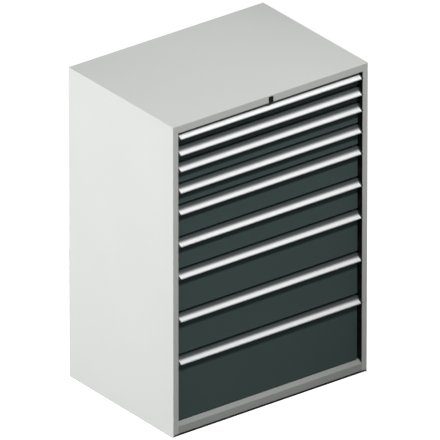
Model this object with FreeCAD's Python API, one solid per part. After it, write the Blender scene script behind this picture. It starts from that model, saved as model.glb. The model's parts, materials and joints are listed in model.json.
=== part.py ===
import FreeCAD, Part
import math
import os

# Drawer cabinet in folded sheet steel, in millimetres.
# X points to the right, Y to the back and Z up. The origin is on the floor, in the middle of the
# footprint, handles included.

# Housing
housing_width = 1023.0
housing_depth = 725.0
base_height = 65.0
top_rail_height = 35.0
front_heights = (75.0, 75.0, 100.0, 100.0, 150.0, 150.0, 200.0, 200.0, 300.0)
sheet = 1.5
bend_radius = 1.0
post_width = 27.5
rear_flange = 20.0
top_flange = 15.0
top_rear_flange = 20.0
rail_return = 18.0
rail_lip = 5.0
seam = 0.3
overcut = 1.0  # how far a cutting block starts outside what it cuts

# Base
sill_back_height = 60.0
sill_front_height = 48.0
sill_flange = 30.0
sill_return = 14.0
reveal_height = 13.0
toe_gap = 2.0
foot_flange = 30.0
foot_sheet = 2.0
anchor_hole = 11.0
anchor_inset_front = 110.0
anchor_inset_rear = 110.0

# Drawer fronts
front_recess = 20.0
front_depth = 16.0
front_sheet = 1.2
front_round = 1.5
front_lip = 20.0
front_side_gap = 9.75
front_top_gap = 4.0
front_bottom_gap = 8.5
sill_clearance = 3.0

# Handle profile
handle_depth = 26.1
handle_top_gap = 2.0
handle_height = 28.0
handle_wall = 2.0
handle_web = 2.2
handle_web_height = 23.0
handle_top_leg = 10.0
handle_fall = 15.3
handle_fillet = 8.0
handle_nose = 2.5
handle_nose_round = 1.4
cap_length = 8.5
cap_back_rise = 5.0
cap_foot = 5.0

# Label strip
label_groove = 1.0
label_thickness = 0.8
label_side_gap = 0.3
label_end_gap = 0.5
label_margin_top = 5.2
label_margin_nose = 1.9

# Trays
tray_sheet = 1.0
tray_bottom_gap = 6.0
tray_top_gap = 12.0
tray_rear_space = 75.0
tray_rim = 7.0

# Telescopic slides
slide_space = 24.0
rail_height = 36.0
rail_depth = 9.5
rail_sheet = 1.5
rail_bottom_gap = 5.0
beam_web = 2.0
beam_flange = 1.5
beam_play = 1.0
beam_side_play = 0.8
beam_end_gap = 1.0
beam_shorter = 8.0
shoe_length = 30.0
shoe_relief = 2.0
glide_length = 25.0
buffer_length = 12.0
buffer_height = 20.0
running_gap = 0.3

# Uprights and the hooks of the runners
upright_depth = 44.0
hook_height = 8.0
hook_reach = 4.5
hook_drop = 4.0
hook_thickness = 2.4
slot_height = 12.0
slot_width = 4.0

# Central lock
lock_drop = 20.0
lock_plate_width = 22.0
lock_plate_height = 28.0
lock_plate_depth = 3.0
lock_plate_round = 3.0
lock_boss_diameter = 18.0
lock_boss_depth = 1.5
lock_barrel_length = 24.0
lock_hole_play = 0.3
plug_diameter = 12.0
plug_play = 0.15
key_slot_width = 1.8
key_slot_height = 8.0
key_slot_depth = 6.0
cam_width = 12.0
cam_length = 18.0
cam_thickness = 2.5
cam_pin_radius = 8.0
cam_pin_diameter = 5.0
cam_start_angle = 45.0
cam_rod_gap = 1.3
slot_play = 0.4
slot_rim = 2.0

# Locking rod, bar and fingers
rod_height = 14.0
rod_thickness = 2.0
rod_left_end = 22.0
bar_thickness = 3.0
bar_width = 12.0
bar_side_gap = 3.0
bar_back_gap = 2.5
bar_foot_gap = 16.0
bar_head_room = 2.0
bar_pin_inset = 29.0
bar_pin_diameter = 6.0
bar_pin_drop = 5.0
arm_height = 16.0
finger_rise = 2.0
finger_height = 8.5
finger_inset = 15.0
lug_gap = 1.0
lug_rise = 2.5
lug_height = 8.0
lug_reach = 19.0
lug_thickness = 2.0
guide_thickness = 2.0
guide_wall = 5.0
guide_play = 0.4
rod_guide_places = (60.0, 250.0, 400.0)
bar_guide_drawers = (0, 4, 8)

# Places worked out from the sizes above
lip_overhang = handle_depth - front_recess
housing_height = base_height + sum(front_heights) + top_rail_height
half_width = housing_width / 2
front_face = -(housing_depth + lip_overhang) / 2 + lip_overhang
back_face = front_face + housing_depth
post_inner = half_width - post_width
wall_inner = half_width - sheet
floor_top = sill_back_height - sheet
panel_face = front_face + front_recess
panel_back = panel_face + front_depth
panel_half = post_inner - front_side_gap
tray_half = post_inner - slide_space
tray_depth = housing_depth - front_recess - front_depth - tray_rear_space
tray_back = panel_back + tray_depth
beam_front = panel_back + beam_end_gap
beam_length = tray_depth - beam_shorter
beam_back = beam_front + beam_length
runner_back = beam_back + running_gap + buffer_length
front_hook = beam_front + hook_thickness / 2
rear_hook = runner_back - hook_thickness / 2
front_upright = front_face + sheet
rear_upright = runner_back - upright_depth / 2
rail_inner_half = rail_height / 2 - rail_sheet
beam_half = rail_inner_half - beam_play
channel_half = beam_half - beam_flange
beam_centre = tray_half + slide_space / 2
lock_height = housing_height - lock_drop
cam_pin_offset = cam_pin_radius * math.sin(math.radians(cam_start_angle))
lock_travel = 2 * cam_pin_offset
cam_front = front_face + lock_barrel_length + running_gap
rod_front = cam_front + cam_thickness + cam_rod_gap
bar_front = front_upright + upright_depth + bar_back_gap
bar_inner = post_inner + bar_side_gap
pin_place = post_inner - bar_pin_inset
pin_height = lock_height - bar_pin_drop
bar_top = housing_height - 2 * sheet - lock_travel - bar_head_room
bar_foot = floor_top + bar_foot_gap


def plan(z):
    """Maps a flat outline to a level plane."""
    return lambda a, b: FreeCAD.Vector(a, b, z)


def side(x):
    """Maps a flat outline to an upright plane seen from the side: first Y, then Z."""
    return lambda a, b: FreeCAD.Vector(x, a, b)


def front(y):
    """Maps a flat outline to an upright plane seen from the front: first X, then Z."""
    return lambda a, b: FreeCAD.Vector(a, y, b)


def outline_face(points, plane, radii=None):
    """Makes a face from the corners of an outline, each one sharp or rounded by its radius."""
    corners = [FreeCAD.Vector(a, b, 0) for a, b in points]
    radii = radii or [0.0] * len(corners)
    stops = []
    for i, at in enumerate(corners):
        if radii[i] == 0:
            stops.append((at, None, at))
            continue
        to_last = (corners[i - 1] - at).normalize()
        to_next = (corners[(i + 1) % len(corners)] - at).normalize()
        half_angle = to_last.getAngle(to_next) / 2
        reach = radii[i] / math.tan(half_angle)
        towards_centre = (to_last + to_next).normalize()
        middle = at + towards_centre * (radii[i] / math.sin(half_angle) - radii[i])
        stops.append((at + to_last * reach, middle, at + to_next * reach))
    edges = []
    for i, (start, middle, end) in enumerate(stops):
        if middle is not None:
            edges.append(Part.Arc(*[plane(p.x, p.y) for p in (start, middle, end)]).toShape())
        following = stops[(i + 1) % len(stops)][0]
        if (following - end).Length > 1e-6:
            edges.append(Part.makeLine(plane(end.x, end.y), plane(following.x, following.y)))
    return Part.Face(Part.Wire(edges))


def folded(path, thickness, plane, length):
    """Folds a strip of sheet along a path of corners and draws it out along length.

    The path is the strip's outer face, and the sheet lies to the left of it.
    """
    corners = [FreeCAD.Vector(a, b, 0) for a, b in path]
    inner, outer_radii, inner_radii = [], [], []
    runs = [(corners[i + 1] - corners[i]).normalize() for i in range(len(corners) - 1)]
    lefts = [FreeCAD.Vector(-run.y, run.x, 0) for run in runs]
    for i, at in enumerate(corners):
        before = lefts[max(i - 1, 0)]
        after = lefts[min(i, len(lefts) - 1)]
        inner.append(at + (before + after) * (thickness / (1 + before.dot(after))))
        turn = 0.0
        if 0 < i < len(corners) - 1:
            turn = runs[i - 1].cross(runs[i]).z
        outer_radii.append(0.0 if turn == 0 else bend_radius + (thickness if turn > 0 else 0))
        inner_radii.append(0.0 if turn == 0 else bend_radius + (thickness if turn < 0 else 0))
    points = [(p.x, p.y) for p in corners] + [(p.x, p.y) for p in reversed(inner)]
    return outline_face(points, plane, outer_radii + inner_radii[::-1]).extrude(length)


def box(x, y, z):
    """Makes a block from its lowest and highest X, Y and Z."""
    size = [high - low for low, high in (x, y, z)]
    return Part.makeBox(*size, FreeCAD.Vector(x[0], y[0], z[0]))


def rod(diameter, start, end):
    """Makes a round rod from one point to another."""
    start = FreeCAD.Vector(*start)
    run = FreeCAD.Vector(*end) - start
    return Part.makeCylinder(diameter / 2, run.Length, start, run)


def other_side(shape):
    """Mirrors a shape from the right side of the cabinet to the left."""
    return shape.mirror(FreeCAD.Vector(0, 0, 0), FreeCAD.Vector(1, 0, 0))


def both_sides(shape):
    return [shape, other_side(shape)]


def along_x(length):
    return FreeCAD.Vector(length, 0, 0)


def along_y(length):
    return FreeCAD.Vector(0, length, 0)


def along_z(length):
    return FreeCAD.Vector(0, 0, length)


def save(name, solids):
    """Writes one named piece, or one group of like pieces, to its own file."""
    shape = solids[0] if len(solids) == 1 else Part.makeCompound(solids)
    shape.exportStep("parts/" + name + ".step")


def drawer_levels():
    """Gives each drawer's lower and upper level, from the top drawer down."""
    upper = housing_height - top_rail_height
    levels = []
    for height in front_heights:
        levels.append((upper - height, upper))
        upper -= height
    return levels


def rail_centre(lower):
    return lower + rail_bottom_gap + rail_height / 2


def finger_bottom(lower):
    return lower + rail_bottom_gap + rail_height + finger_rise


def lug_bottom(lower):
    return finger_bottom(lower) + finger_height + lug_rise


# Housing

def side_wall():
    """Right side: rear flange, side, corner post and the flange that the top lies on."""
    path = [
        (post_inner, front_face),
        (half_width, front_face),
        (half_width, back_face),
        (half_width - rear_flange, back_face),
    ]
    wall_height = housing_height - sheet
    wall = folded(path, sheet, plan(0), along_z(wall_height))
    inset = sheet + bend_radius
    ledge = box(
        (wall_inner - top_flange, wall_inner),
        (front_face + inset, back_face - inset),
        (wall_height - sheet, wall_height),
    )
    notch = box(
        (post_inner - overcut, wall_inner),
        (front_face - overcut, front_face + inset),
        (-overcut, reveal_height),
    )
    return wall.fuse(ledge).removeSplitter().cut(notch)


def rear_wall():
    """Back sheet, held behind the rear flanges, with a fold at its top and bottom."""
    face = back_face - sheet
    top = housing_height - 2 * sheet
    fold = top_rear_flange
    path = [
        (face - fold, floor_top),
        (face, floor_top),
        (face, top),
        (face - fold, top),
    ]
    half = wall_inner - bend_radius - seam
    return folded(path, sheet, side(-half), along_x(2 * half))


def top_cover():
    """Top sheet with the front rail and the rear flange folded from it."""
    path = [
        (back_face, housing_height - top_rear_flange),
        (back_face, housing_height),
        (front_face, housing_height),
        (front_face, housing_height - top_rail_height),
        (front_face + rail_return, housing_height - top_rail_height),
        (front_face + rail_return, housing_height - top_rail_height + rail_lip),
    ]
    cover = folded(path, sheet, side(-half_width), along_x(housing_width))
    below = (0, housing_height - sheet)
    post_corner = box(
        (post_inner - seam, half_width + overcut),
        (front_face - overcut, front_face + rail_return + overcut),
        below,
    )
    rear_corner = box(
        (half_width - rear_flange - seam, half_width + overcut),
        (back_face - sheet - bend_radius, back_face + overcut),
        below,
    )
    for corner in both_sides(post_corner) + both_sides(rear_corner):
        cover = cover.cut(corner)
    hole = rod(
        lock_boss_diameter + 2 * lock_hole_play,
        (0, front_face - overcut, lock_height),
        (0, front_face + sheet + overcut, lock_height),
    )
    return cover.cut(hole)


def base_sill():
    """Front sill between the posts, sloping from the drawer's foot to its front face."""
    path = [
        (panel_face + sill_flange, sill_back_height),
        (panel_face, sill_back_height),
        (front_face, sill_front_height),
        (front_face, reveal_height),
        (front_face + sill_return, reveal_height),
    ]
    half = post_inner - seam
    return folded(path, sheet, side(-half), along_x(2 * half))


def floor_panel():
    """Base tray, turned upside down on a flange all round, with holes to bolt it to the floor."""
    half = wall_inner - seam
    near = panel_face + toe_gap
    far = back_face - 2 * sheet - seam
    tray = box((-half, half), (near, far), (0, floor_top))
    tray = tray.cut(
        box(
            (-half + sheet, half - sheet),
            (near + sheet, far - sheet),
            (foot_sheet, floor_top - sheet),
        )
    )
    tray = tray.cut(
        box(
            (-half + foot_flange, half - foot_flange),
            (near + foot_flange, far - foot_flange),
            (-overcut, foot_sheet + overcut),
        )
    )
    across = half - foot_flange / 2
    for x in (-across, across):
        for y in (near + anchor_inset_front, far - anchor_inset_rear):
            hole = rod(anchor_hole, (x, y, -overcut), (x, y, foot_sheet + overcut))
            tray = tray.cut(hole)
    return tray


def upright(near, hook_place):
    """Right-hand angle on the side wall, with a hook slot for each runner."""
    far = near + upright_depth
    path = [
        (wall_inner, far),
        (post_inner, far),
        (post_inner, near),
    ]
    height = housing_height - 2 * sheet - floor_top
    angle = folded(path, sheet, plan(floor_top), along_z(height))
    for lower, upper in drawer_levels():
        level = rail_centre(lower)
        slot = box(
            (post_inner - overcut, post_inner + sheet + overcut),
            (hook_place - slot_width / 2, hook_place + slot_width / 2),
            (level - slot_height / 2, level + slot_height / 2),
        )
        angle = angle.cut(slot)
    return angle


# Slides

def rail(web_at, depth, near, length, centre):
    """A C rail whose web stands at web_at and whose flanges reach depth, to either side."""
    way = 1 if depth > 0 else -1
    mouth = web_at + depth
    back = web_at + way * rail_sheet
    half = rail_height / 2
    inside = half - rail_sheet
    points = [
        (web_at, centre - half),
        (mouth, centre - half),
        (mouth, centre - inside),
        (back, centre - inside),
        (back, centre + inside),
        (mouth, centre + inside),
        (mouth, centre + half),
        (web_at, centre + half),
    ]
    return outline_face(points, front(near)).extrude(along_y(length))


def hook(place, level):
    """A hook of a runner: through the slot of the upright and down behind its sheet."""
    behind = post_inner + sheet + running_gap
    tip = post_inner + hook_reach
    top = level + hook_height / 2
    under = level - hook_height / 2
    points = [
        (post_inner, top),
        (tip, top),
        (tip, under - hook_drop),
        (behind, under - hook_drop),
        (behind, under),
        (post_inner, under),
    ]
    near = place - hook_thickness / 2
    return outline_face(points, front(near)).extrude(along_y(hook_thickness))


def cabinet_runner(lower):
    """Right-hand fixed rail with the hooks that hang it on the two uprights."""
    centre = rail_centre(lower)
    runner = rail(post_inner, -rail_depth, beam_front, runner_back - beam_front, centre)
    for place in (front_hook, rear_hook):
        runner = runner.fuse(hook(place, centre))
    return runner.removeSplitter()


def runner_glide(lower):
    """Glide block in the mouth of a fixed rail, inside the travelling beam's outer channel."""
    centre = rail_centre(lower)
    half = channel_half - running_gap
    return box(
        (beam_centre + beam_web / 2 + running_gap, post_inner - rail_sheet),
        (beam_front, beam_front + glide_length),
        (centre - half, centre + half),
    )


def drawer_buffer(lower):
    """End stop at the back of a fixed rail, just behind the travelling beam."""
    centre = rail_centre(lower)
    return box(
        (beam_centre, post_inner - rail_sheet),
        (beam_back + running_gap, runner_back),
        (centre - buffer_height / 2, centre + buffer_height / 2),
    )


def travelling_beam(lower):
    """Right-hand I beam between the two rails, its flanges cut away where its shoes sit."""
    centre = rail_centre(lower)
    inner = tray_half + rail_sheet + beam_side_play
    outer = post_inner - rail_sheet - beam_side_play
    web = beam_web / 2
    points = [
        (inner, centre - beam_half),
        (outer, centre - beam_half),
        (outer, centre - channel_half),
        (beam_centre + web, centre - channel_half),
        (beam_centre + web, centre + channel_half),
        (outer, centre + channel_half),
        (outer, centre + beam_half),
        (inner, centre + beam_half),
        (inner, centre + channel_half),
        (beam_centre - web, centre + channel_half),
        (beam_centre - web, centre - channel_half),
        (inner, centre - channel_half),
    ]
    beam = outline_face(points, front(beam_front)).extrude(along_y(beam_length))
    relief = shoe_length + shoe_relief
    level = (centre - beam_half - overcut, centre + beam_half + overcut)
    at_front = box(
        (inner - overcut, beam_centre - web), (beam_front - overcut, beam_front + relief), level
    )
    at_back = box(
        (beam_centre + web, outer + overcut), (beam_back - relief, beam_back + overcut), level
    )
    return beam.cut(at_front).cut(at_back)


def beam_shoes(lower):
    """Front shoe in the drawer's rail and rear shoe in the fixed rail, right-hand side."""
    centre = rail_centre(lower)
    half = rail_inner_half - running_gap
    level = (centre - half, centre + half)
    inner = (tray_half + rail_sheet + running_gap, beam_centre - beam_web / 2)
    outer = (beam_centre + beam_web / 2, post_inner - rail_sheet - running_gap)
    return [
        box(inner, (beam_front, beam_front + shoe_length), level),
        box(outer, (beam_back - shoe_length, beam_back), level),
    ]


# Drawers

def drawer_front(lower, upper, lowest):
    """Folded front pan with a return lip all round; the lowest one reaches down to the sill."""
    bottom = sill_back_height + sill_clearance if lowest else lower + front_bottom_gap
    top = upper - front_top_gap
    pan = box((-panel_half, panel_half), (panel_face, panel_back), (bottom, top))
    pan = pan.makeFillet(front_round, [e for e in pan.Edges if e.BoundBox.YMax < panel_face + 0.01])
    inside = front_sheet
    hollow = box(
        (-panel_half + inside, panel_half - inside),
        (panel_face + inside, panel_back - inside),
        (bottom + inside, top - inside),
    )
    window = box(
        (-panel_half + front_lip, panel_half - front_lip),
        (panel_back - inside - overcut, panel_back + overcut),
        (bottom + front_lip / 2, top - front_lip / 2),
    )
    return pan.cut(hollow).cut(window)


def drawer_tray(lower, upper):
    """Sheet tray with an outward rim at its sides and back, and the locking lug on its right."""
    bottom = lower + tray_bottom_gap
    top = upper - tray_top_gap
    tray = box((-tray_half, tray_half), (panel_back, tray_back), (bottom, top))
    rim = box(
        (-tray_half - tray_rim, tray_half + tray_rim),
        (panel_back, tray_back + tray_rim),
        (top - tray_sheet, top),
    )
    lug_front = bar_front + bar_thickness + lug_gap
    lug = box(
        (tray_half - tray_sheet, tray_half + lug_reach),
        (lug_front, lug_front + lug_thickness),
        (lug_bottom(lower), lug_bottom(lower) + lug_height),
    )
    inside = box(
        (-tray_half + tray_sheet, tray_half - tray_sheet),
        (panel_back + tray_sheet, tray_back - tray_sheet),
        (bottom + tray_sheet, top + overcut),
    )
    return tray.fuse(rim).fuse(lug).removeSplitter().cut(inside)


def drawer_rail(lower):
    """Right-hand rail on the tray's wall."""
    return rail(tray_half, rail_depth, panel_back, tray_depth, rail_centre(lower))


def tray_glide(lower):
    """Glide block at the back of a drawer rail, inside the travelling beam's inner channel."""
    centre = rail_centre(lower)
    half = channel_half - running_gap
    return box(
        (tray_half + rail_sheet, beam_centre - beam_web / 2 - running_gap),
        (tray_back - glide_length, tray_back),
        (centre - half, centre + half),
    )


# Handle
# The profile is drawn from the front's face: reach counts outwards from it, and drop counts down
# from the drawer's upper level.

slope_run = handle_depth - handle_web
slope_length = math.hypot(slope_run, handle_fall)
slope_out = slope_run / slope_length
slope_down = handle_fall / slope_length
handle_bottom = handle_top_gap + handle_height
slope_start_drop = handle_bottom - handle_fall - handle_nose


def on_slope(distance, depth=0.0):
    """A point of the slope: distance down it from the web, and depth under its surface."""
    reach = handle_web + distance * slope_out - depth * slope_down
    drop = slope_start_drop + distance * slope_down + depth * slope_out
    return reach, drop


def underside_at(reach):
    """The drop of the slope's underside at a given reach."""
    depth = handle_wall + label_groove
    distance = (reach + depth * slope_down - handle_web) / slope_out
    return on_slope(distance, depth)[1]


def profile_solid(points, radii, upper, start, length):
    """Draws out an outline given as reach and drop, from start along X."""
    corners = [(panel_face - reach, upper - drop) for reach, drop in points]
    return outline_face(corners, side(start), radii).extrude(along_x(length))


label_from = label_margin_top
label_to = slope_length - label_margin_nose


def handle_profile(upper):
    """Extruded handle: top leg, web, label slope with its groove, and rolled nose."""
    nose_inner = handle_depth - handle_nose
    points = [
        (-handle_top_leg, handle_top_gap),
        (handle_web, handle_top_gap),
        on_slope(0),
        on_slope(label_from),
        on_slope(label_from, label_groove),
        on_slope(label_to, label_groove),
        on_slope(label_to),
        on_slope(slope_length),
        (handle_depth, handle_bottom),
        (nose_inner, handle_bottom),
        (nose_inner, underside_at(nose_inner)),
        (handle_wall, underside_at(handle_wall)),
        (handle_wall, handle_top_gap + handle_web_height),
        (0.0, handle_top_gap + handle_web_height),
        (0.0, front_top_gap),
        (-handle_top_leg, front_top_gap),
    ]
    radii = [0.0] * len(points)
    radii[2] = handle_fillet
    radii[7] = handle_nose_round
    return profile_solid(points, radii, upper, -panel_half, 2 * panel_half)


def handle_cap(upper):
    """Right-hand end cap, with the handle's outline and a closed underside."""
    points = [
        (0.0, handle_top_gap),
        (handle_web, handle_top_gap),
        on_slope(0),
        on_slope(slope_length),
        (handle_depth, handle_bottom),
        (handle_depth - cap_foot, handle_bottom),
        (0.0, handle_bottom - cap_back_rise),
    ]
    radii = [0.0, 0.0, handle_fillet, handle_nose_round, 0.0, 0.0, 0.0]
    return profile_solid(points, radii, upper, panel_half, cap_length)


def label_strip(upper):
    """Flat strip that lies in the groove of the slope."""
    lower_face = label_groove
    upper_face = label_groove - label_thickness
    points = [
        on_slope(label_from + label_side_gap, lower_face),
        on_slope(label_to - label_side_gap, lower_face),
        on_slope(label_to - label_side_gap, upper_face),
        on_slope(label_from + label_side_gap, upper_face),
    ]
    half = panel_half - label_end_gap
    return profile_solid(points, [0.0] * len(points), upper, -half, 2 * half)


# Central lock

def rounded_plate(width, height, radius, near, depth):
    """Upright plate with rounded corners, centred on the lock."""
    x, z = width / 2, height / 2
    points = [
        (-x, lock_height - z),
        (x, lock_height - z),
        (x, lock_height + z),
        (-x, lock_height + z),
    ]
    return outline_face(points, front(near), [radius] * len(points)).extrude(along_y(depth))


def lock_rod_between(diameter, near, far):
    """Round piece on the lock's axis."""
    return rod(diameter, (0, near, lock_height), (0, far, lock_height))


lock_face = front_face - lock_plate_depth - lock_boss_depth


def lock_housing():
    """Escutcheon with its barrel, which passes through the top rail."""
    plate_near = front_face - lock_plate_depth
    housing = rounded_plate(
        lock_plate_width, lock_plate_height, lock_plate_round, plate_near, lock_plate_depth
    )
    housing = housing.fuse(lock_rod_between(lock_boss_diameter, lock_face, plate_near))
    barrel_end = front_face + lock_barrel_length
    housing = housing.fuse(lock_rod_between(lock_boss_diameter, front_face, barrel_end))
    housing = housing.removeSplitter()
    bore_diameter = plug_diameter + 2 * plug_play
    bore = lock_rod_between(bore_diameter, lock_face - overcut, barrel_end + overcut)
    return housing.cut(bore)


def lock_cylinder():
    """Turning plug with its key slot, the cam behind the barrel and the eccentric pin."""
    plug_face = lock_face + running_gap
    plug = lock_rod_between(plug_diameter, plug_face, cam_front)
    cam = box(
        (-cam_width / 2, cam_width / 2),
        (cam_front, cam_front + cam_thickness),
        (lock_height - cam_width / 2, lock_height - cam_width / 2 + cam_length),
    )
    cam.rotate(FreeCAD.Vector(0, 0, lock_height), FreeCAD.Vector(0, 1, 0), -cam_start_angle)
    pin_end = rod_front + rod_thickness + running_gap
    pin_level = lock_height + cam_pin_offset
    pin = rod(
        cam_pin_diameter,
        (-cam_pin_offset, cam_front + cam_thickness, pin_level),
        (-cam_pin_offset, pin_end, pin_level),
    )
    key_slot = box(
        (-key_slot_width / 2, key_slot_width / 2),
        (plug_face - overcut, plug_face + key_slot_depth),
        (lock_height - key_slot_height / 2, lock_height + key_slot_height / 2),
    )
    return plug.fuse(cam).fuse(pin).cut(key_slot)


def long_slot(start, end, width):
    """Round-ended slot through the rod, between the places of a pin at its two ends."""
    run = FreeCAD.Vector(end[0] - start[0], 0, end[1] - start[1])
    across = FreeCAD.Vector(-run.z, 0, run.x).normalize() * (width / 2)
    near = rod_front - overcut
    first = FreeCAD.Vector(start[0], near, start[1])
    last = FreeCAD.Vector(end[0], near, end[1])
    tip = FreeCAD.Vector(run).normalize() * (width / 2)
    edges = [
        Part.makeLine(first + across, last + across),
        Part.Arc(last + across, last + tip, last - across).toShape(),
        Part.makeLine(last - across, first - across),
        Part.Arc(first - across, first - tip, first + across).toShape(),
    ]
    return Part.Face(Part.Wire(edges)).extrude(along_y(rod_thickness + 2 * overcut))


def lock_rod():
    """Flat rod behind the top rail: upright slot at the cam, inclined slot at the bar."""
    offset = cam_pin_offset
    cam_slot_width = cam_pin_diameter + 2 * slot_play
    pin_slot_width = bar_pin_diameter + 2 * slot_play
    near, far = rod_front, rod_front + rod_thickness
    bottom = lock_height - rod_height / 2
    end_margin = pin_slot_width + slot_rim
    slot_left = pin_place - lock_travel
    flat = box((-rod_left_end, pin_place), (near, far), (bottom, bottom + rod_height))
    head_top = lock_height + cam_pin_radius + cam_slot_width
    head = box((-offset - cam_slot_width, offset), (near, far), (bottom, head_top))
    end_plate = box(
        (slot_left - end_margin, pin_place + end_margin),
        (near, far),
        (pin_height - end_margin, pin_height + lock_travel + end_margin),
    )
    shape = flat.fuse(head).fuse(end_plate).removeSplitter()
    cam_slot = long_slot(
        (-offset, lock_height + offset), (-offset, lock_height + cam_pin_radius), cam_slot_width
    )
    bar_slot = long_slot(
        (pin_place, pin_height), (slot_left, pin_height + lock_travel), pin_slot_width
    )
    return shape.cut(cam_slot).cut(bar_slot)


def lock_bar():
    """Upright bar with one finger per drawer, the arm at its top and the pin in the rod."""
    near = bar_front
    outer = bar_inner + bar_thickness
    bar = box((bar_inner, outer), (near, near + bar_width), (bar_foot, bar_top))
    finger_tip = post_inner - finger_inset
    for lower, upper in drawer_levels():
        bottom = finger_bottom(lower)
        finger = box(
            (finger_tip, outer), (near, near + bar_thickness), (bottom, bottom + finger_height)
        )
        bar = bar.fuse(finger)
    arm = box(
        (pin_place - bar_pin_diameter, outer),
        (near, near + bar_thickness),
        (pin_height - arm_height / 2, pin_height + arm_height / 2),
    )
    pin = rod(
        bar_pin_diameter,
        (pin_place, rod_front - running_gap, pin_height),
        (pin_place, near, pin_height),
    )
    return bar.fuse(arm).fuse(pin).removeSplitter()


def rod_guide(place):
    """Bracket under the top sheet, with a window that the rod slides through."""
    bottom = lock_height - rod_height / 2
    near, far = rod_front, rod_front + rod_thickness
    bracket = box(
        (place, place + guide_thickness),
        (near - guide_wall, far + guide_wall),
        (bottom - guide_wall, housing_height - sheet),
    )
    window = box(
        (place - overcut, place + guide_thickness + overcut),
        (near - guide_play, far + guide_play),
        (bottom - guide_play, bottom + rod_height + guide_play),
    )
    return bracket.cut(window)


def bar_guide(lower):
    """Bracket on the right side wall, with a window that the bar slides through."""
    level = rail_centre(lower)
    inner = bar_inner - guide_play
    outer = bar_inner + bar_thickness + guide_play
    near = bar_front - guide_play
    far = bar_front + bar_width + guide_play
    bracket = box(
        (post_inner + running_gap, wall_inner),
        (front_upright + upright_depth, far + guide_wall),
        (level, level + guide_thickness),
    )
    through = (level - overcut, level + guide_thickness + overcut)
    return bracket.cut(box((inner, outer), (near, far), through))


# Write every piece

os.makedirs("parts", exist_ok=True)
levels = drawer_levels()
lowers = [lower for lower, upper in levels]

right_wall = side_wall()
save("side_wall_right", [right_wall])
save("side_wall_left", [other_side(right_wall)])
save("rear_wall", [rear_wall()])
save("top_cover", [top_cover()])
save("base_sill", [base_sill()])
save("floor_panel", [floor_panel()])
front_pair = both_sides(upright(front_upright, front_hook))
rear_pair = both_sides(upright(rear_upright, rear_hook))
save("slotted_uprights", front_pair + rear_pair)
save("cabinet_runners", [s for lower in lowers for s in both_sides(cabinet_runner(lower))])
save("runner_glides", [s for lower in lowers for s in both_sides(runner_glide(lower))])
save("drawer_buffers", [s for lower in lowers for s in both_sides(drawer_buffer(lower))])
save("lock_housing", [lock_housing()])
save("lock_cylinder", [lock_cylinder()])
save("lock_rod", [lock_rod()])
save("lock_bar", [lock_bar()])
rod_guides = [rod_guide(place) for place in rod_guide_places]
save("lock_guides", rod_guides + [bar_guide(lowers[i]) for i in bar_guide_drawers])

for number, (lower, upper) in enumerate(levels, start=1):
    name = "drawer_" + str(number) + "_"
    lowest = number == len(levels)
    rails = both_sides(drawer_rail(lower)) + both_sides(tray_glide(lower))
    shoes = [s for shoe in beam_shoes(lower) for s in both_sides(shoe)]
    caps = both_sides(handle_cap(upper))
    save(name + "front", [drawer_front(lower, upper, lowest)])
    save(name + "tray", [drawer_tray(lower, upper)] + rails)
    save(name + "handle", [handle_profile(upper)] + caps)
    save(name + "label", [label_strip(upper)])
    save(name + "slides", both_sides(travelling_beam(lower)) + shoes)
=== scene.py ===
import json
import math

import bmesh
import bpy
from bpy.props import FloatProperty, FloatVectorProperty, PointerProperty
from bpy.types import Operator, Panel, PropertyGroup
from mathutils import Matrix, Vector

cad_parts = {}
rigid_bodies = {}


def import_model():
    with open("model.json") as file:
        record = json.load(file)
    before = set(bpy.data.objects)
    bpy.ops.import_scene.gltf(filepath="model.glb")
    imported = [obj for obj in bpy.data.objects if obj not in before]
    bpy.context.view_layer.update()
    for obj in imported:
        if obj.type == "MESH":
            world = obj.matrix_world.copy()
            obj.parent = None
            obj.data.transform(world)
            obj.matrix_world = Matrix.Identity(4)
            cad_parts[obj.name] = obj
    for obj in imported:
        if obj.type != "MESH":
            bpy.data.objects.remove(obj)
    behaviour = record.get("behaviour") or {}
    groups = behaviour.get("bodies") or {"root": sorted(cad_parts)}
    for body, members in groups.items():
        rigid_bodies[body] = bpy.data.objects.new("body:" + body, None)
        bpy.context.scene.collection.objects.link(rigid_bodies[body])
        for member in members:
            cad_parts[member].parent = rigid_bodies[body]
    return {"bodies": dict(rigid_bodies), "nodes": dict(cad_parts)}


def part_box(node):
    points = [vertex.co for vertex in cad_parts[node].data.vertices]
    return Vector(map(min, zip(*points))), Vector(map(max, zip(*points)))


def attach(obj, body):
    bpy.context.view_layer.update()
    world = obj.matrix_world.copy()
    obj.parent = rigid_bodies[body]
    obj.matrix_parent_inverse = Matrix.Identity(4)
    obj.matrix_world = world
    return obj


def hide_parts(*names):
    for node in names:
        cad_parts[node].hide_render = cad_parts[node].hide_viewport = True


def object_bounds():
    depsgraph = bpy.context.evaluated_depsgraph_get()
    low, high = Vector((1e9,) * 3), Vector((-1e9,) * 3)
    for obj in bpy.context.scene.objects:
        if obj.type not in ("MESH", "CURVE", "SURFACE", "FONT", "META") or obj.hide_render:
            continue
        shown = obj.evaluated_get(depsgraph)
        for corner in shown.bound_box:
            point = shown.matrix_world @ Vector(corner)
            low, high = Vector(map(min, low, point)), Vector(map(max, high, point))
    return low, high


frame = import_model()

bl_info = {
    "name": "Drawer Cabinet",
    "version": (1, 0, 0),
    "blender": (4, 5, 0),
    "location": "View3D > Sidebar > Cabinet",
    "description": "Gives a steel drawer cabinet its finishes and small parts, and lights it in a studio",
    "category": "Object",
}

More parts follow.
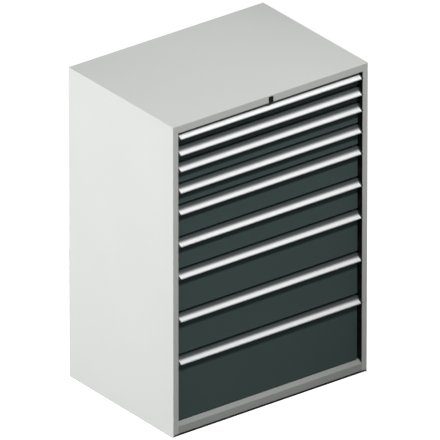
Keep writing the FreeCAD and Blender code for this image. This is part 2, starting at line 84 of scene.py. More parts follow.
CAD_LOW, CAD_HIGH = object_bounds()
DRAWERS = sum(1 for name in frame["bodies"] if name.startswith("drawer_"))
NEAR = 1e-5            # closer than this counts as touching
TRAY_SHEET = 0.001     # thickness of a tray's sheet
TRAY_BEND = 0.0018     # outer radius of the pan's folds
GLIDE_LONGEST = 0.1    # a loose part of a tray longer than this is a rail
RIVET_SHARES = (-0.9, -0.3, 0.3, 0.9)  # places of a tray's rivets, as shares of half its width
RIVET_SIDES = 12
RIVET_RINGS = 6
HANDLE_WEB = 0.0022    # thickness of the handle's upright web
LABEL_PAINTED_SHADE = 0.45     # share of a label's width that carries painted shade from the handle's bend
PAINTED_SHADOW_SETBACK = 0.008      # how far behind the sill's front the painted shadow on the floor under the cabinet begins
RAIL_SHEET = 0.0015    # thickness of the top rail
NOISE_LOW = 0.3        # most of a noise texture lies between these two
NOISE_HIGH = 0.7
GLOSS_SPREAD = 0.05    # how far a coat's roughness drifts to either side


def colour_property(name, description, red, green, blue):
    """A colour that the sidebar shows as a swatch, given in the levels of a paint chart."""
    levels = [((level / 255 + 0.055) / 1.055) ** 2.4 for level in (red, green, blue)]
    return FloatVectorProperty(
        name=name, description=description, subtype="COLOR", size=4, min=0.0, max=1.0,
        default=(*levels, 1.0),
    )


class CabinetFinishes(PropertyGroup):
    """Colours and grain sizes of the cabinet's finishes; some of the colours carry painted shade and
    painted reflection.
    """

    housing: colour_property("Housing", "Powder coat of the housing", 205, 207, 204)
    # Painted shade: the sill and the base tray take the housing's powder coat made darker, as they look in
    # the shade near the floor.
    plinth: colour_property("Plinth", "Powder coat of the sill and the base tray", 170, 173, 170)
    fronts: colour_property("Fronts", "Powder coat of the drawer fronts", 69, 83, 82)
    trays: colour_property("Trays", "Powder coat of the drawer trays", 60, 66, 66)
    structure: colour_property("Structure", "Coat of the uprights", 11, 12, 13)
    # Painted shade and painted reflection: the handles' web is coloured dark, as if shaded and reflecting a
    # dark room. Their bend is lighter, and their slope is light, as if reflecting a bright sky.
    web: colour_property("Handle web", "Upright web of the handles", 62, 68, 68)
    bend: colour_property("Handle bend", "Handles between their web and their label", 116, 122, 122)
    slope: colour_property("Handle slope", "Slope and nose of the handles", 182, 188, 188)
    # Partly painted shade: the caps are coloured near black, matching the shaded right ends of the handles.
    caps: colour_property("Handle caps", "Moulded end caps of the handles", 18, 19, 20)
    # Painted shade: the label strips are coloured grey at their upper edge, where the handle's bend shades
    # them.
    label_edge: colour_property("Label edge", "Upper edge of the label strips", 150, 156, 156)
    labels: colour_property("Label strips", "White card in the handles", 252, 253, 253)
    zinc: colour_property("Zinc", "Zinc plating of the slides and the lock's rods", 178, 183, 186)
    nylon: colour_property("Nylon", "Glide blocks", 224, 223, 214)
    rubber: colour_property("Rubber", "Buffers", 24, 24, 24)
    lock: colour_property("Lock", "Coated lock housing", 8, 8, 9)
    plug: colour_property("Lock plug", "Blackened lock plug", 30, 31, 32)
    peel: FloatProperty(
        name="Orange peel", description="Width of one bump of the powder coat",
        default=0.0014, min=0.0002, unit="LENGTH",
    )
    brushing: FloatProperty(
        name="Brushing", description="Spacing of the draw lines along the handles",
        default=0.0006, min=0.0001, unit="LENGTH",
    )


class CabinetFittings(PropertyGroup):
    """Sizes of the pressed and fastened details."""

    slot_pitch: FloatProperty(
        name="Slot pitch", description="From one divider slot of a tray to the next",
        default=0.017, min=0.008, unit="LENGTH",
    )
    slot_width: FloatProperty(
        name="Slot width", description="Width of a divider slot", default=0.003, unit="LENGTH",
    )
    slot_height: FloatProperty(
        name="Slot height", description="Height of a divider slot", default=0.012, unit="LENGTH",
    )
    slot_margin: FloatProperty(
        name="Slot margin", description="Plain sheet over the upper slots and under the lower ones",
        default=0.008, unit="LENGTH",
    )
    slot_rise: FloatProperty(
        name="Slot rise", description="From one row of slots to the next", default=0.05, unit="LENGTH",
    )
    rivet_head: FloatProperty(
        name="Rivet head", description="Diameter of a rivet's head", default=0.0065, unit="LENGTH",
    )
    rivet_rise: FloatProperty(
        name="Rivet rise", description="How far a rivet's head stands out", default=0.0013, unit="LENGTH",
    )
    rivet_edge: FloatProperty(
        name="Rivet edge", description="From a tray's floor to the rivets of its front wall",
        default=0.012, unit="LENGTH",
    )
    nut_flats: FloatProperty(
        name="Nut flats", description="Width of the lock's nut across its flats",
        default=0.024, unit="LENGTH",
    )
    nut_height: FloatProperty(
        name="Nut height", description="Height of the lock's nut", default=0.004, unit="LENGTH",
    )


class CabinetStudio(PropertyGroup):
    """Camera and light."""

    azimuth: FloatProperty(
        name="Azimuth", description="Side from which the camera looks",
        default=math.radians(-37.23), subtype="ANGLE",
    )
    elevation: FloatProperty(
        name="Elevation", description="Height of the camera over the horizon",
        default=math.radians(26.5), subtype="ANGLE",
    )
    lens: FloatProperty(
        name="Focal length", description="Long, so that the view has next to no perspective",
        default=1650.0, subtype="DISTANCE_CAMERA",
    )
    frame_width: FloatProperty(
        name="Frame width", description="What the picture takes in at the cabinet",
        default=1.8463, unit="LENGTH",
    )
    shift_x: FloatProperty(name="Shift X", description="Share of the frame", default=0.00305)
    shift_y: FloatProperty(name="Shift Y", description="Share of the frame", default=0.0004)
    side_lamp: FloatProperty(
        name="Side lamp", description="Power of the wide lamp on the left", default=345.0, unit="POWER",
    )
    side_place: FloatVectorProperty(
        name="Side lamp's place", description="Behind the fronts, so that the gaps beside them stay dark",
        default=(-6.0, 0.5, 1.8), subtype="TRANSLATION",
    )
    side_size: FloatProperty(
        name="Side lamp's size", description="Diameter of the lamp", default=0.8, unit="LENGTH",
    )
    front_lamp: FloatProperty(
        name="Front lamp", description="Strength of the far lamp on the drawers", default=0.5,
    )
    front_azimuth: FloatProperty(
        name="Front lamps' azimuth", description="Seen from the cabinet",
        default=math.radians(6.0), subtype="ANGLE",
    )
    front_elevation: FloatProperty(
        name="Front lamps' elevation", description="High, so that each handle shades its front",
        default=math.radians(54.0), subtype="ANGLE",
    )
    front_softness: FloatProperty(
        name="Front lamp's softness", description="Angle that the lamp fills",
        default=math.radians(10.0), subtype="ANGLE",
    )
    near_lamp: FloatProperty(
        name="Near lamp", description="Power of the near lamp, which leaves the plinth dimmer",
        default=1900.0, unit="POWER",
    )
    near_distance: FloatProperty(
        name="Near lamp's distance", description="To the point it is aimed at", default=8.0, unit="LENGTH",
    )
    near_aim: FloatVectorProperty(
        name="Near lamp's aim", description="The point it is aimed at",
        default=(-0.1, -0.36, 1.6), subtype="TRANSLATION",
    )
    near_cone: FloatProperty(
        name="Near lamp's cone", description="Full angle, past which it gives no light",
        default=math.radians(19.0), subtype="ANGLE",
    )
    near_blend: FloatProperty(
        name="Near lamp's edge", description="Share of the cone over which the light fades", default=0.85,
    )
    near_size: FloatProperty(
        name="Near lamp's size", description="Radius of the lamp", default=0.4, unit="LENGTH",
    )
    right_lamp: FloatProperty(
        name="Right lamp", description="Strength from the right", default=3.6,
    )
    right_azimuth: FloatProperty(
        name="Right lamp's azimuth", description="A little behind the fronts",
        default=math.radians(96.0), subtype="ANGLE",
    )
    rear_lamp: FloatProperty(
        name="Rear lamp", description="Strength from behind", default=3.6,
    )
    rear_azimuth: FloatProperty(
        name="Rear lamp's azimuth", description="Seen from the cabinet",
        default=math.radians(178.0), subtype="ANGLE",
    )
    low_softness: FloatProperty(
        name="Low lamps' softness", description="Angle that the right and the rear lamp fill",
        default=math.radians(16.0), subtype="ANGLE",
    )
    ambient: FloatProperty(name="Ambient", description="Strength of the room's light", default=0.12)
    floor_white: FloatProperty(name="Floor", description="Shade of the floor", default=0.85)
    # This shade is also the colour of the painted shadow on the floor under the cabinet.
    floor_bounce_and_painted_shadow: FloatProperty(
        name="Floor bounce", description="Shade that the floor has for the light it sends up", default=0.12,
    )
    floor_glow: FloatProperty(name="Floor glow", description="What whitens the floor", default=0.7)


# Materials

def new_material(name):
    """Makes a material and returns it with its nodes and its shader."""
    made = bpy.data.materials.new(name)
    made.use_nodes = True
    return made, made.node_tree, made.node_tree.nodes["Principled BSDF"]


def add_node(tree, kind, inputs=None, **settings):
    """Adds a node, with values for its inputs by name and settings by attribute."""
    node = tree.nodes.new(kind)
    for name, value in settings.items():
        setattr(node, name, value)
    for name, value in (inputs or {}).items():
        node.inputs[name].default_value = value
    return node


def object_place(tree, stretch=(1.0, 1.0, 1.0)):
    """Object coordinates in metres, stretched by a factor along each axis."""
    place = add_node(tree, "ShaderNodeTexCoord")
    mapping = add_node(tree, "ShaderNodeMapping", {"Scale": stretch})
    tree.links.new(place.outputs["Object"], mapping.inputs["Vector"])
    return mapping.outputs["Vector"]


def noise(tree, place, size, detail=2.0):
    """Noise whose bumps are about one size wide."""
    texture = add_node(tree, "ShaderNodeTexNoise", {"Scale": 1.0 / size, "Detail": detail})
    tree.links.new(place, texture.inputs["Vector"])
    return texture.outputs["Fac"]


def spread(tree, value, low, high):
    """Maps noise to a range."""
    ranged = add_node(
        tree, "ShaderNodeMapRange",
        {"From Min": NOISE_LOW, "From Max": NOISE_HIGH, "To Min": low, "To Max": high},
    )
    tree.links.new(value, ranged.inputs["Value"])
    return ranged.outputs["Result"]


def mixed(tree, share, first, second):
    """Mixes two colours, each an output or a fixed colour."""
    mix = add_node(tree, "ShaderNodeMix", data_type="RGBA")
    sockets = [socket for socket in mix.inputs if socket.enabled]
    for socket, source in zip(sockets, (share, first, second)):
        if isinstance(source, bpy.types.NodeSocket):
            tree.links.new(source, socket)
        else:
            socket.default_value = source
    return next(output for output in mix.outputs if output.enabled)


def drifting_colour(tree, place, colour, drift, size):
    """One colour that grows a little lighter and darker over the surface."""
    darker = [level * (1 - drift) for level in colour[:3]] + [1.0]
    lighter = [min(level * (1 + drift), 1.0) for level in colour[:3]] + [1.0]
    return mixed(tree, spread(tree, noise(tree, place, size), 0.0, 1.0), darker, lighter)


def bump(tree, height, shader, depth):
    """Raises a surface by up to a depth in metres."""
    node = add_node(tree, "ShaderNodeBump", {"Strength": 1.0, "Distance": depth})
    tree.links.new(height, node.inputs["Height"])
    tree.links.new(node.outputs["Normal"], shader.inputs["Normal"])


def powder_coat(name, colour, peel, gloss, drift=0.02, specular=0.5):
    """Sprayed and baked paint: a fine orange peel under an even colour."""
    made, tree, shader = new_material(name)
    place = object_place(tree)
    shader.inputs["Specular IOR Level"].default_value = specular
    tree.links.new(drifting_colour(tree, place, colour, drift, 0.4), shader.inputs["Base Color"])
    grain = noise(tree, place, peel)
    roughness = spread(tree, grain, gloss - GLOSS_SPREAD, gloss + GLOSS_SPREAD)
    tree.links.new(roughness, shader.inputs["Roughness"])
    bump(tree, grain, shader, peel * 0.02)
    return made


def outward_ramp(tree, depth, start, end, first, second):
    """Turns from the first colour to the second as a surface comes forward from start to end."""
    ahead = add_node(tree, "ShaderNodeMapRange", {"From Min": start, "From Max": end})
    tree.links.new(depth, ahead.inputs["Value"])
    return mixed(tree, ahead.outputs["Result"], first, second)


def handle_with_painted_shade(name, finishes, cap_start, web_face, label_edge, nose):
    """Drawn profile with painted shade and painted reflection, coloured dark at the web and brightening
    into its slope, and caps past cap_start coloured near black, which is partly painted shade.
    """
    made, tree, shader = new_material(name)
    place = object_place(tree)
    where = add_node(tree, "ShaderNodeSeparateXYZ")
    tree.links.new(place, where.inputs["Vector"])
    web = drifting_colour(tree, place, finishes.web, 0.03, 0.25)
    # painted shade and painted reflection: the colour brightens as the profile comes forward from the web
    # to the nose
    bend = outward_ramp(tree, where.outputs["Y"], web_face, label_edge, web, finishes.bend)
    metal_with_painted_shade = outward_ramp(tree, where.outputs["Y"], label_edge, nose, bend, finishes.slope)
    outward = add_node(tree, "ShaderNodeMath", operation="ABSOLUTE")
    tree.links.new(where.outputs["X"], outward.inputs[0])
    cap = add_node(tree, "ShaderNodeMath", operation="GREATER_THAN")
    cap.inputs[1].default_value = cap_start
    tree.links.new(outward.outputs["Value"], cap.inputs[0])
    # partly painted shade: the caps' near-black colour stands in for the shade at the handles' ends
    plastic = drifting_colour(tree, place, finishes.caps, 0.03, 0.03)
    tree.links.new(mixed(tree, cap.outputs["Value"], metal_with_painted_shade, plastic), shader.inputs["Base Color"])

    streaks = noise(tree, object_place(tree, (0.01, 1.0, 1.0)), finishes.brushing, 3.0)
    tree.links.new(spread(tree, streaks, 0.34, 0.5), shader.inputs["Roughness"])
    shader.inputs["Specular IOR Level"].default_value = 0.4
    bump(tree, streaks, shader, finishes.brushing * 0.03)
    return made


def plated_steel(name, colour, gloss):
    """Zinc or nickel plating with the cloudy spangle of a dipped sheet."""
    made, tree, shader = new_material(name)
    shader.inputs["Metallic"].default_value = 1.0
    place = object_place(tree)
    tree.links.new(drifting_colour(tree, place, colour, 0.12, 0.012), shader.inputs["Base Color"])
    cloud = noise(tree, place, 0.006, 4.0)
    roughness = spread(tree, cloud, gloss - 2 * GLOSS_SPREAD, gloss + 2 * GLOSS_SPREAD)
    tree.links.new(roughness, shader.inputs["Roughness"])
    bump(tree, noise(tree, place, 0.0008), shader, 0.00001)
    return made


def label_with_painted_shade(name, finishes, upper, full):
    """White card under a clear film, with painted shade greying it towards its upper edge, where the
    handle's bend shades it.
    """
    made, tree, shader = new_material(name)
    shader.inputs["Coat Weight"].default_value = 1.0
    place = object_place(tree)
    where = add_node(tree, "ShaderNodeSeparateXYZ")
    tree.links.new(place, where.inputs["Vector"])
    card = drifting_colour(tree, place, finishes.labels, 0.03, 0.03)
    card_with_painted_shade = outward_ramp(tree, where.outputs["Y"], upper, full, finishes.label_edge, card)
    tree.links.new(card_with_painted_shade, shader.inputs["Base Color"])
    fibres = noise(tree, place, 0.0006)
    tree.links.new(spread(tree, fibres, 0.3, 0.4), shader.inputs["Roughness"])
    bump(tree, fibres, shader, 0.000005)
    return made


def moulded(name, colour, gloss, grain=0.0009, depth=0.00002, specular=0.5):
    """Moulded plastic or rubber with a fine texture."""
    made, tree, shader = new_material(name)
    place = object_place(tree)
    shader.inputs["Specular IOR Level"].default_value = specular
    tree.links.new(drifting_colour(tree, place, colour, 0.03, 0.03), shader.inputs["Base Color"])
    texture = noise(tree, place, grain)
    roughness = spread(tree, texture, gloss - GLOSS_SPREAD, gloss + GLOSS_SPREAD)
    tree.links.new(roughness, shader.inputs["Roughness"])
    bump(tree, texture, shader, depth)
    return made


def give(material, *nodes):
    """Gives a finish to CAD nodes."""
    for node in nodes:
        for slot in frame["nodes"][node].material_slots:
            slot.material = material


def each_drawer(piece):
    """The nodes of one kind of piece, from the top drawer down."""
    return ["drawer_%d_%s" % (number, piece) for number in range(1, DRAWERS + 1)]


# Shapes

def finish_piece(form, name, body, slot, materials, *replaced):
    """Makes a piece of a form, which then rides on a body and stands for CAD nodes."""
    mesh = bpy.data.meshes.new(name)
    form.to_mesh(mesh)
    form.free()
    for material in materials:
        mesh.materials.append(material)
    made = link_new(name, mesh)
    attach(made, body)
    if replaced:
        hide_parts(*replaced)
    return made


def rivet(form, place, outward, head, rise):
    """A domed head that stands out of a sheet; its other half is the tail behind it."""
    ball = bmesh.ops.create_uvsphere(form, u_segments=RIVET_SIDES, v_segments=RIVET_RINGS, radius=1.0)
    turn = outward.to_track_quat("Z", "Y").to_matrix().to_4x4()
    size = Matrix.Diagonal((head / 2, head / 2, rise, 1.0))
    bmesh.ops.transform(form, matrix=Matrix.Translation(place) @ turn @ size, verts=ball["verts"])


def slot_lines(length, pitch, width):
    """Lines along a wall, from its start to its end, with a slot after every second one."""
    count = int(length / pitch) - 1
    first = (length - (count - 1) * pitch) / 2
    lines = [0.0]
    for number in range(count):
        centre = first + number * pitch
        lines += [centre - width / 2, centre + width / 2]
    return lines + [length]


def slot_rows(height, fittings):
    """Levels up a wall, from its foot to its top, with a row of slots after every second one."""
    levels = []
    top = height - fittings.slot_margin
    while top - fittings.slot_height >= fittings.slot_margin:
        levels = [top - fittings.slot_height, top] + levels
        top -= fittings.slot_rise
    return [0.0] + levels + [height]


def slotted_wall(form, corner, along, lines, levels):
    """Adds an upright wall of sheet that starts at a corner; returns the cells that become slots."""
    columns, rows = len(lines) - 1, len(levels) - 1
    grid = bmesh.ops.create_grid(form, x_segments=columns, y_segments=rows, size=0.5)["verts"]
    cells = {face for vertex in grid for face in vertex.link_faces}
    slots = []
    for face in cells:
        middle = face.calc_center_median()
        column, row = int((middle.x + 0.5) * columns), int((middle.y + 0.5) * rows)
        if column % 2 == 1 and row % 2 == 1:
            slots.append(face)
    for vertex in grid:
        column = round((vertex.co.x + 0.5) * columns)
        row = round((vertex.co.y + 0.5) * rows)
        vertex.co = corner + along * lines[column] + Vector((0, 0, levels[row]))
    return slots


def slotted_pan(form, low, high, rim, fittings):
    """A pan folded from one sheet, with slots in its walls and a rim turned out on three sides."""
    levels = slot_rows(high.z - low.z, fittings)
    corners = [Vector((low.x, low.y, low.z)), Vector((high.x, low.y, low.z)),
               Vector((high.x, high.y, low.z)), Vector((low.x, high.y, low.z))]
    slots = []
    for start, end in zip(corners, corners[1:] + corners[:1]):
        way = end - start
        lines = slot_lines(way.length, fittings.slot_pitch, fittings.slot_width)
        slots += slotted_wall(form, start, way.normalized(), lines, levels)
    bmesh.ops.remove_doubles(form, verts=form.verts, dist=NEAR)

    foot = [edge for edge in form.edges if all(vertex.co.z < low.z + NEAR for vertex in edge.verts)]
    floor = bmesh.ops.edgeloop_fill(form, edges=foot)["faces"]
    bmesh.ops.recalc_face_normals(form, faces=form.faces)
    if floor[0].normal.z > 0:
        bmesh.ops.reverse_faces(form, faces=form.faces)
    brim = [
        edge for edge in form.edges
        if all(vertex.co.z > high.z - NEAR for vertex in edge.verts)
        and any(vertex.co.y > low.y + NEAR for vertex in edge.verts)
    ]
    turned = bmesh.ops.extrude_edge_only(form, edges=brim)["geom"]
    for vertex in (item for item in turned if isinstance(item, bmesh.types.BMVert)):
        if vertex.co.y > high.y - NEAR:
            vertex.co.y += rim
        if vertex.co.x > high.x - NEAR:
            vertex.co.x += rim
        elif vertex.co.x < low.x + NEAR:
            vertex.co.x -= rim

    bends = [edge for edge in form.edges if edge.is_manifold and edge.calc_face_angle() > math.radians(45)]
    bmesh.ops.delete(form, geom=slots, context="FACES_ONLY")
    bmesh.ops.bevel(
        form, geom=bends, offset=TRAY_BEND, offset_type="OFFSET", segments=2, profile=0.5,
        affect="EDGES", material=-1,
    )
    bmesh.ops.solidify(form, geom=form.faces[:], thickness=TRAY_SHEET)


def span(vertices, axis):
    """The lowest and the highest place of some vertices along an axis."""
    places = [vertex.co[axis] for vertex in vertices]
    return min(places), max(places)


def block(form, low, high, round_off):
    """A block between two corners, with its edges broken."""
    made = bmesh.ops.create_cube(form, size=1.0)["verts"]
    size = high - low
    bmesh.ops.scale(form, vec=size, verts=made)
    bmesh.ops.translate(form, vec=(low + high) / 2, verts=made)
    edges = [edge for edge in form.edges if edge.verts[0] in made]
    bmesh.ops.bevel(
        form, geom=edges, offset=round_off, offset_type="OFFSET", segments=2, profile=0.5,
        affect="EDGES", material=-1,
    )


def loose_parts(form):
    """The parts of a form that don't touch each other, each as a list of vertices."""
    reached = set()
    parts = []
    for start in form.verts:
        if start in reached:
            continue
        reached.add(start)
        part = [start]
        for vertex in part:
            for edge in vertex.link_edges:
                other = edge.other_vert(vertex)
                if other not in reached:
                    reached.add(other)
                    part.append(other)
        parts.append(part)
    return parts


def tray(number, fittings, paint, zinc, nylon):
    """Makes one drawer's tray: its rails and glides kept from the frame, and its pan folded anew."""
    node, body = "drawer_%d_tray" % number, "drawer_%d" % number
    rails = bmesh.new()
    rails.from_mesh(frame["nodes"][node].data)
    bmesh.ops.remove_doubles(rails, verts=rails.verts, dist=NEAR)
    parts = loose_parts(rails)
    plain = next(part for part in parts if span(part, 0)[0] < 0 < span(part, 0)[1])
    carried = [part for part in parts if part is not plain]
    half = min(abs(vertex.co.x) for part in carried for vertex in part)
    back = max(span(part, 1)[1] for part in carried)
    front, brim = span(plain, 1)
    foot, top = span(plain, 2)
    rim = brim - back
    lug = [vertex for vertex in plain if vertex.co.x > half + rim + TRAY_SHEET]
    lug_low = Vector((half - TRAY_SHEET, span(lug, 1)[0], span(lug, 2)[0]))
    lug_high = Vector((span(lug, 0)[1], span(lug, 1)[1], span(lug, 2)[1]))
    for part in carried:
        start, end = span(part, 1)
        for face in {face for vertex in part for face in vertex.link_faces}:
            face.material_index = int(end - start < GLIDE_LONGEST)
    bmesh.ops.delete(rails, geom=plain, context="VERTS")
    finish_piece(rails, "tray_rails_%d" % number, body, "zinc_steel", [zinc, nylon], node)

    pan = bmesh.new()
    slotted_pan(pan, Vector((-half, front, foot)), Vector((half, back, top - TRAY_SHEET)), rim, fittings)
    block(pan, lug_low, lug_high, TRAY_SHEET / 4)
    for share in RIVET_SHARES:
        place = Vector((share * half, front + TRAY_SHEET, foot + fittings.rivet_edge))
        rivet(pan, place, Vector((0, 1, 0)), fittings.rivet_head, fittings.rivet_rise)
    finish_piece(pan, "slotted_tray_%d" % number, body, "tray_paint", [paint], node)


class CABINET_OT_trays(Operator):
    """Fold the drawers' trays, with their divider slots, locking lugs, rails and glides"""

    bl_idname = "cabinet.trays"
    bl_label = "Trays"

    def execute(self, context):
        finishes = context.scene.cabinet_finishes
        paint = powder_coat("tray_paint", finishes.trays, finishes.peel, 0.55, specular=0.3)
        zinc = plated_steel("rail_zinc", finishes.zinc, 0.38)
        nylon = moulded("tray_glide_nylon", finishes.nylon, 0.45)
        for number in range(1, DRAWERS + 1):
            tray(number, context.scene.cabinet_fittings, paint, zinc, nylon)
        return {"FINISHED"}


class CABINET_OT_nut(Operator):
    """Fasten the lock's barrel with a hexagon nut behind the top rail"""

    bl_idname = "cabinet.nut"
    bl_label = "Lock nut"

    def execute(self, context):
        fittings = context.scene.cabinet_fittings
        low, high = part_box("lock_housing")
        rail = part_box("top_cover")[0].y + RAIL_SHEET
        form = bmesh.new()
        corner = fittings.nut_flats / math.sqrt(3)
        ring = bmesh.ops.create_cone(
            form, cap_ends=True, segments=6, radius1=corner, radius2=corner, depth=fittings.nut_height,
        )["verts"]
        turn = Matrix.Rotation(math.radians(90), 4, "X")
        place = Vector(((low.x + high.x) / 2, rail + fittings.nut_height / 2, (low.z + high.z) / 2))
        bmesh.ops.transform(form, matrix=Matrix.Translation(place) @ turn, verts=ring)
        bmesh.ops.bevel(
            form, geom=form.edges[:], offset=fittings.nut_height / 10, offset_type="OFFSET", segments=2,
            profile=0.5, affect="EDGES", material=-1,
        )
        zinc = plated_steel("nut_zinc", context.scene.cabinet_finishes.zinc, 0.35)
        finish_piece(form, "lock_nut", "housing", "zinc_steel", [zinc])
        return {"FINISHED"}


class CABINET_OT_housing(Operator):
    """Finish the housing: light powder coat outside, a darker copy of it with painted shade on the sill and
    the base tray, dark structure inside
    """

    bl_idname = "cabinet.housing"
    bl_label = "Housing"

    def execute(self, context):
        finishes = context.scene.cabinet_finishes
        paint = powder_coat("housing_paint", finishes.housing, finishes.peel, 0.5, 0.012, specular=0.2)
        give(paint, "side_wall_left", "side_wall_right", "rear_wall", "top_cover")
        # painted shade: a darker copy of the housing's coat for the sill and the base tray near the floor
        plinth = powder_coat("plinth_with_painted_shade", finishes.plinth, finishes.peel, 0.5, 0.012, specular=0.2)
        give(plinth, "base_sill", "floor_panel")
        dark = powder_coat("structure_paint", finishes.structure, finishes.peel, 0.6, specular=0.2)
        give(dark, "slotted_uprights")
        return {"FINISHED"}


class CABINET_OT_slides(Operator):
    """Finish the slides, their glides and their buffers"""

    bl_idname = "cabinet.slides"
    bl_label = "Slides"

    def execute(self, context):
        finishes = context.scene.cabinet_finishes
        give(plated_steel("zinc_plating", finishes.zinc, 0.38), "cabinet_runners", *each_drawer("slides"))
        give(moulded("glide_nylon", finishes.nylon, 0.45), "runner_glides")
        give(moulded("buffer_rubber", finishes.rubber, 0.8), "drawer_buffers")
        return {"FINISHED"}


class CABINET_OT_lock(Operator):
    """Finish the lock, its rod, its bar and their guides"""

    bl_idname = "cabinet.lock"
    bl_label = "Lock"

    def execute(self, context):
        finishes = context.scene.cabinet_finishes
        give(moulded("lock_coating", finishes.lock, 0.45, specular=0.1), "lock_housing")
        give(plated_steel("plug_plating", finishes.plug, 0.3), "lock_cylinder")
        give(plated_steel("lock_zinc", finishes.zinc, 0.4), "lock_rod", "lock_bar", "lock_guides")
        return {"FINISHED"}


class CABINET_OT_drawers(Operator):
    """Finish the drawers: fronts, handles and label strips"""

    bl_idname = "cabinet.drawers"
    bl_label = "Drawers"

    def execute(self, context):
        finishes = context.scene.cabinet_finishes
        fronts = powder_coat("front_paint", finishes.fronts, finishes.peel, 0.55, 0.02, specular=0.06)
        give(fronts, *each_drawer("front"))
        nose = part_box("drawer_1_handle")[0].y
        web_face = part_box("drawer_1_front")[0].y - HANDLE_WEB
        label_low, label_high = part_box("drawer_1_label")
        # the handles carry painted shade and painted reflection along their profile
        metal_with_painted_shade = handle_with_painted_shade("handle_aluminium", finishes, label_high.x, web_face, label_high.y, nose)
        give(metal_with_painted_shade, *each_drawer("handle"))
        # the label's painted shade fades out here
        shade_end = label_high.y + (label_low.y - label_high.y) * LABEL_PAINTED_SHADE
        give(label_with_painted_shade("label_card", finishes, label_high.y, shade_end), *each_drawer("label"))
        return {"FINISHED"}


# Stage

def view_direction(azimuth, elevation):
    """Points from the cabinet to a camera or lamp; azimuth 0 is straight in front."""
    return Vector((
        math.sin(azimuth) * math.cos(elevation),
        -math.cos(azimuth) * math.cos(elevation),
        math.sin(elevation),
    ))


def aim(obj, target, direction, distance):
    """Places a camera or lamp at a distance from its target and turns it there."""
    obj.location = target + direction * distance
    obj.rotation_euler = direction.to_track_quat("Z", "Y").to_euler()


def link_new(name, data):
    """Makes an object in the scene."""
    made = bpy.data.objects.new(name, data)
    bpy.context.scene.collection.objects.link(made)
    return made


def lamp(name, kind, energy, place, direction, distance, glossy=True):
    """Makes a lamp aimed at a place; without gloss it leaves no glare on a face seen edge on."""
    data = bpy.data.lights.new(name, kind)
    data.energy = energy
    made = link_new(name, data)
    made.visible_glossy = glossy
    aim(made, place, direction, distance)
    return data


def seen_directly(tree):
    """1 for what the camera, a gloss or a glass sees, and 0 for what only lights the room."""
    path = add_node(tree, "ShaderNodeLightPath")
    gloss = add_node(tree, "ShaderNodeMath", operation="MAXIMUM")
    tree.links.new(path.outputs["Is Camera Ray"], gloss.inputs[0])
    tree.links.new(path.outputs["Is Glossy Ray"], gloss.inputs[1])
    glass = add_node(tree, "ShaderNodeMath", operation="MAXIMUM")
    tree.links.new(gloss.outputs["Value"], glass.inputs[0])
    tree.links.new(path.outputs["Is Transmission Ray"], glass.inputs[1])
    return glass.outputs["Value"]


def room_light(ambient):
    """A white room that lights the cabinet less than it shows."""
    world = bpy.data.worlds.new("room")
    bpy.context.scene.world = world
    world.use_nodes = True
    tree = world.node_tree
    background = tree.nodes["Background"]
    background.inputs["Color"].default_value = (1.0, 1.0, 1.0, 1.0)
    strength = add_node(tree, "ShaderNodeMapRange", {"To Min": ambient, "To Max": 1.0})
    tree.links.new(seen_directly(tree), strength.inputs["Value"])
    tree.links.new(strength.outputs["Result"], background.inputs["Strength"])


def matt(tree, shade):
    """A matt grey."""
    return add_node(tree, "ShaderNodeBsdfDiffuse", {"Color": [shade] * 3 + [1.0]}).outputs["BSDF"]


def painted_shadow_floor(studio):
    """The floor under the cabinet, coloured dark grey and without glow: a painted shadow over the real one.
    """
    made, tree, shader = new_material("studio_floor_painted_shadow")
    tree.nodes.remove(shader)
    tree.links.new(matt(tree, studio.floor_bounce_and_painted_shadow), tree.nodes["Material Output"].inputs["Surface"])
    return made


def pale_floor(studio):
    """The floor that shows white and sends little light up."""
    made, tree, shader = new_material("studio_floor")
    tree.nodes.remove(shader)
    light = add_node(tree, "ShaderNodeEmission", {"Strength": studio.floor_glow})
    both = add_node(tree, "ShaderNodeAddShader")
    mix = add_node(tree, "ShaderNodeMixShader")
    tree.links.new(matt(tree, studio.floor_white), both.inputs[0])
    tree.links.new(light.outputs["Emission"], both.inputs[1])
    tree.links.new(seen_directly(tree), mix.inputs["Fac"])
    tree.links.new(matt(tree, studio.floor_bounce_and_painted_shadow), mix.inputs[1])
    tree.links.new(both.outputs["Shader"], mix.inputs[2])
    tree.links.new(mix.outputs["Shader"], tree.nodes["Material Output"].inputs["Surface"])
    return made


def studio_floor(studio, half_size=60.0):
    """A pale floor that keeps the cabinet's shadow, cut along the cabinet's outline; inside the outline it
    is a painted shadow.
    """
    mesh = bpy.data.meshes.new("studio_floor")
    form = bmesh.new()
    bmesh.ops.create_grid(form, x_segments=1, y_segments=1, size=half_size)
    low, high = CAD_LOW.copy(), CAD_HIGH.copy()
    low.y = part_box("base_sill")[0].y + PAINTED_SHADOW_SETBACK
    for corner in (low, high):
        for across in (Vector((1, 0, 0)), Vector((0, 1, 0))):
            whole = form.verts[:] + form.edges[:] + form.faces[:]
            bmesh.ops.bisect_plane(form, geom=whole, plane_co=corner, plane_no=across)
    for face in form.faces:
        middle = face.calc_center_median()
        # faces inside the cabinet's outline take the painted shadow
        face.material_index = int(all(low[i] < middle[i] < high[i] for i in (0, 1)))
    form.to_mesh(mesh)
    form.free()
    mesh.materials.append(pale_floor(studio))
    mesh.materials.append(painted_shadow_floor(studio))
    link_new("studio_floor", mesh)


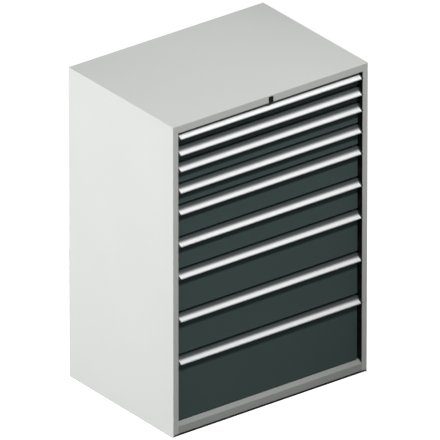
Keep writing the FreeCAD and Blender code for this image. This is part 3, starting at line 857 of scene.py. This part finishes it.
def studio_lamps(studio, centre):
    """A wide lamp from the left, two high ones on the drawers and two low ones on the far sides."""
    aside = Vector(studio.side_place) - centre
    way, distance = aside.normalized(), aside.length
    side = lamp("side_lamp", "AREA", studio.side_lamp, centre, way, distance, glossy=False)
    side.shape = "DISK"
    side.size = studio.side_size

    reach = (CAD_HIGH - CAD_LOW).length
    ahead = view_direction(studio.front_azimuth, studio.front_elevation)
    front = lamp("front_lamp", "SUN", studio.front_lamp, centre, ahead, reach)
    front.angle = studio.front_softness

    near = lamp(
        "near_lamp", "SPOT", studio.near_lamp, Vector(studio.near_aim), ahead, studio.near_distance,
    )
    near.spot_size = studio.near_cone
    near.spot_blend = studio.near_blend
    near.shadow_soft_size = studio.near_size

    for name, strength, azimuth in (
        ("right_lamp", studio.right_lamp, studio.right_azimuth),
        ("rear_lamp", studio.rear_lamp, studio.rear_azimuth),
    ):
        level = view_direction(azimuth, 0.0)
        low = lamp(name, "SUN", strength, centre, level, reach, glossy=False)
        low.angle = studio.low_softness


def studio_camera(studio, centre):
    """A long lens far off, so that parallel edges stay parallel."""
    camera = bpy.data.cameras.new("camera")
    camera.lens = studio.lens
    camera.shift_x = studio.shift_x
    camera.shift_y = studio.shift_y
    camera.dof.use_dof = False
    distance = studio.frame_width * camera.lens / camera.sensor_width
    camera.clip_end = 2 * distance
    made = link_new("camera", camera)
    aim(made, centre, view_direction(studio.azimuth, studio.elevation), distance)
    bpy.context.scene.camera = made


class CABINET_OT_studio(Operator):
    """Set up the floor, the lamps and the camera"""

    bl_idname = "cabinet.studio"
    bl_label = "Studio"

    def execute(self, context):
        studio = context.scene.cabinet_studio
        context.scene.view_settings.view_transform = "Standard"
        centre = (CAD_LOW + CAD_HIGH) / 2
        room_light(studio.ambient)
        studio_floor(studio)
        studio_lamps(studio, centre)
        studio_camera(studio, centre)
        return {"FINISHED"}


class CABINET_PT_sidebar(Panel):
    """Lists the cabinet's operators and settings"""

    bl_idname = "CABINET_PT_sidebar"
    bl_label = "Drawer cabinet"
    bl_space_type = "VIEW_3D"
    bl_region_type = "UI"
    bl_category = "Cabinet"

    def draw(self, context):
        for operator in OPERATORS:
            self.layout.operator(operator.bl_idname)
        scene = context.scene
        for group in (scene.cabinet_finishes, scene.cabinet_fittings, scene.cabinet_studio):
            for name in group.bl_rna.properties.keys():
                if name not in ("rna_type", "name"):
                    self.layout.prop(group, name)


OPERATORS = (
    CABINET_OT_housing,
    CABINET_OT_slides,
    CABINET_OT_lock,
    CABINET_OT_drawers,
    CABINET_OT_trays,
    CABINET_OT_nut,
    CABINET_OT_studio,
)
CLASSES = (CabinetFinishes, CabinetFittings, CabinetStudio, *OPERATORS, CABINET_PT_sidebar)


def register():
    for item in CLASSES:
        bpy.utils.register_class(item)
    bpy.types.Scene.cabinet_finishes = PointerProperty(type=CabinetFinishes)
    bpy.types.Scene.cabinet_fittings = PointerProperty(type=CabinetFittings)
    bpy.types.Scene.cabinet_studio = PointerProperty(type=CabinetStudio)


def unregister():
    del bpy.types.Scene.cabinet_studio
    del bpy.types.Scene.cabinet_fittings
    del bpy.types.Scene.cabinet_finishes
    for item in reversed(CLASSES):
        bpy.utils.unregister_class(item)


def main():
    register()
    bpy.ops.cabinet.housing()
    bpy.ops.cabinet.slides()
    bpy.ops.cabinet.lock()
    bpy.ops.cabinet.drawers()
    bpy.ops.cabinet.trays()
    bpy.ops.cabinet.nut()
    bpy.ops.cabinet.studio()


if __name__ == "__main__":
    main()
